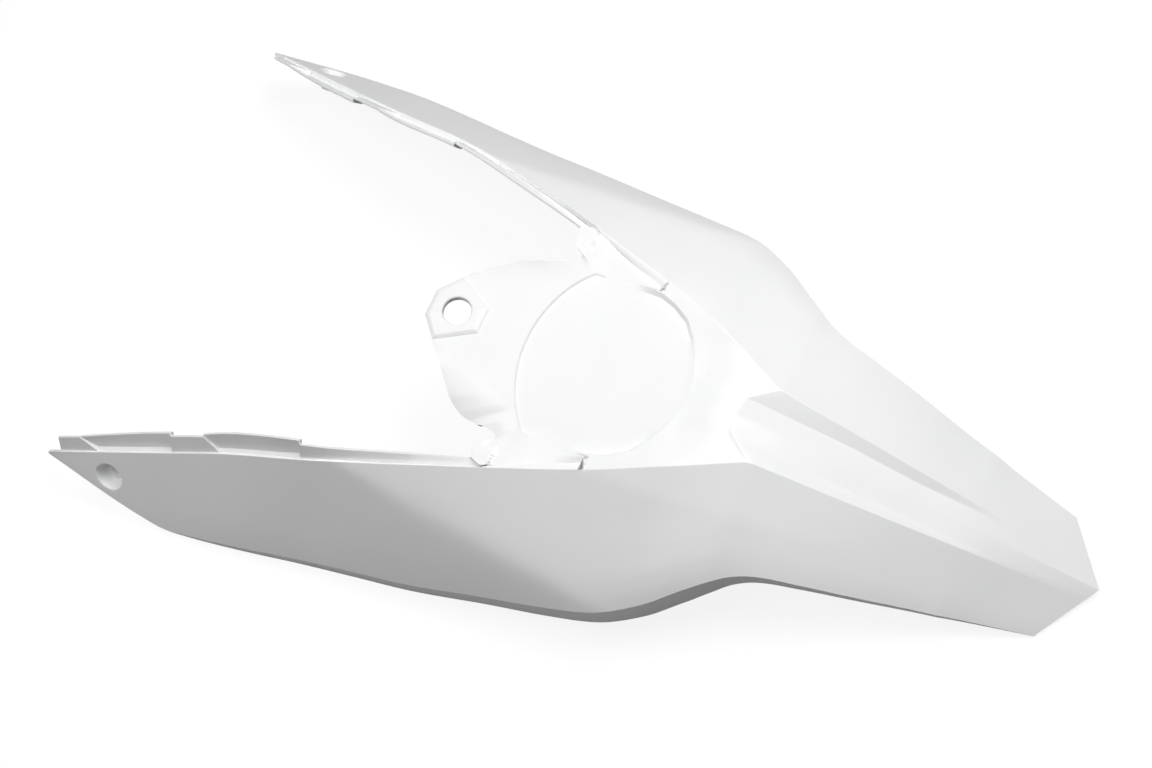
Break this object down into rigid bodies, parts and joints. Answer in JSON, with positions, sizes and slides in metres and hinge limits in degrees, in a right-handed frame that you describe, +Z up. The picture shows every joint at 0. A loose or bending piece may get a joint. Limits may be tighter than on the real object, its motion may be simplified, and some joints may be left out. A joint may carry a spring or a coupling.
{
  "type": "motorcycle rear fender",
  "caption": "Off-road motorcycle rear fender: a moulded shell with forward side panels, a dished deck with a drilled front tongue, and a channelled, pointed tail",
  "frame": {"origin": "middle of the underside of the bounding box, on the surface that the fender stands on", "axes": "+X to the tail, +Y to the right-hand side panel, +Z up; the fender is symmetric about Y = 0"},
  "size_m": [0.8802, 0.4804, 0.1344],
  "materials": {
    "moulded_plastic": "white polypropylene with an even satin gloss"
  },
  "bodies": {
    "root": {"rear_fender": "moulded_plastic"}
  },
  "joints": []
}
